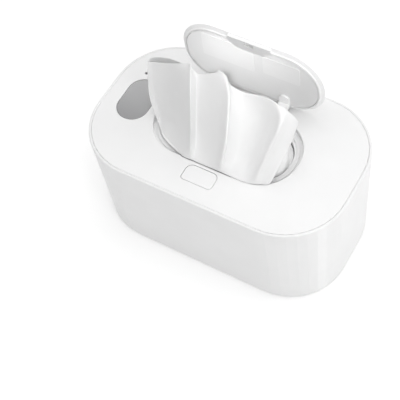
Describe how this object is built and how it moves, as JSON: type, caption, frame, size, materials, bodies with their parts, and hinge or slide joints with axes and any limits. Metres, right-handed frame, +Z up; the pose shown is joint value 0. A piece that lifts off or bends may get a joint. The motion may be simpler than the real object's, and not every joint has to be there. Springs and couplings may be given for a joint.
{
  "type": "baby wipe warmer",
  "caption": "Rounded white baby wipe warmer with a lift-off heated cover, a display window, a release button and a sprung flip lid over a wipe opening.",
  "frame": {"origin": "middle of the underside, on the plane of the feet", "axes": "+X to the right along the length, +Y towards the lid's hinge, +Z up"},
  "size_m": [0.21, 0.1264, 0.1691],
  "materials": {
    "tub_plastic": "satin moulded ABS, white",
    "cover_plastic": "fine satin moulded ABS, white",
    "inner_plastic": "plain moulded, off white",
    "silicone": "soft translucent white",
    "wipe_cloth": "damp non-woven, white",
    "insulation": "closed-cell foam",
    "heater_film": "amber film",
    "plate_aluminium": "brushed sheet",
    "sensor": "epoxy bead",
    "fuse_case": "plated can",
    "board": "solder mask",
    "capacitor": "shrink sleeve",
    "connector": "nylon",
    "module": "black housing",
    "display_lens": "smoked grey lens",
    "socket": "black",
    "lead": "silicone sleeve",
    "lid_plastic": "satin moulded ABS, white",
    "liner_plastic": "plain moulded, light grey",
    "steel": "bright drawn wire",
    "screw_steel": "zinc plated",
    "button_plastic": "fine satin, white",
    "foot_rubber": "pale rubber"
  },
  "bodies": {
    "tub": {"tub": "tub_plastic", "wipe_stack": "wipe_cloth", "foot_front_left": "foot_rubber", "foot_back_left": "foot_rubber", "foot_front_right": "foot_rubber", "foot_back_right": "foot_rubber"},
    "cover": {"cover_panel": "cover_plastic", "cover_base": "inner_plastic", "cover_seal": "silicone", "opening_seal_left": "silicone", "opening_seal_right": "silicone", "insulation_pad": "insulation", "heating_film": "heater_film", "heating_plate": "plate_aluminium", "temperature_sensor": "sensor", "thermal_fuse": "fuse_case", "control_board": "board", "board_capacitor": "capacitor", "wire_connector": "connector", "display_module": "module", "display_window": "display_lens", "power_socket": "socket", "sensor_lead": "lead", "fuse_lead": "lead", "hinge_rod": "steel", "lid_spring": "steel", "button_spring": "steel", "drawn_wipe": "wipe_cloth", "cover_screw_1": "screw_steel", "cover_screw_2": "screw_steel", "cover_screw_3": "screw_steel", "cover_screw_4": "screw_steel", "cover_screw_5": "screw_steel", "cover_screw_6": "screw_steel", "plate_screw_1": "screw_steel", "plate_screw_2": "screw_steel", "plate_screw_3": "screw_steel", "plate_screw_4": "screw_steel", "board_screw_1": "screw_steel", "board_screw_2": "screw_steel", "board_screw_3": "screw_steel"},
    "lid": {"lid_shell": "lid_plastic", "lid_liner": "liner_plastic"},
    "button": {"release_button": "button_plastic"},
    "latch": {"latch_slider": "inner_plastic"}
  },
  "joints": [
    {"name": "cover_lift", "type": "slide", "parent": "tub", "child": "cover", "axis": [0, 0, 1], "range_m": [0, 0.08]},
    {"name": "lid_hinge", "type": "hinge", "parent": "cover", "child": "lid", "pos_m": [0, 0.0372, 0.09], "axis": [1, 0, 0], "range_deg": [0, 90], "stiffness_Nm_per_rad": 0.02, "springref_deg": -28.65, "deforming": ["drawn_wipe"]},
    {"name": "button_press", "type": "slide", "parent": "cover", "child": "button", "axis": [0, 0, -1], "range_m": [0, 0.0012], "stiffness_N_per_m": 400, "springref_m": -0.001, "deforming": ["button_spring"]},
    {"name": "latch_slide", "type": "slide", "parent": "cover", "child": "latch", "axis": [0, -1, 0], "range_m": [0, 0.0012]}
  ],
  "couplings": [
    {"joint": "latch_slide", "follows": "button_press", "ratio": 1}
  ]
}
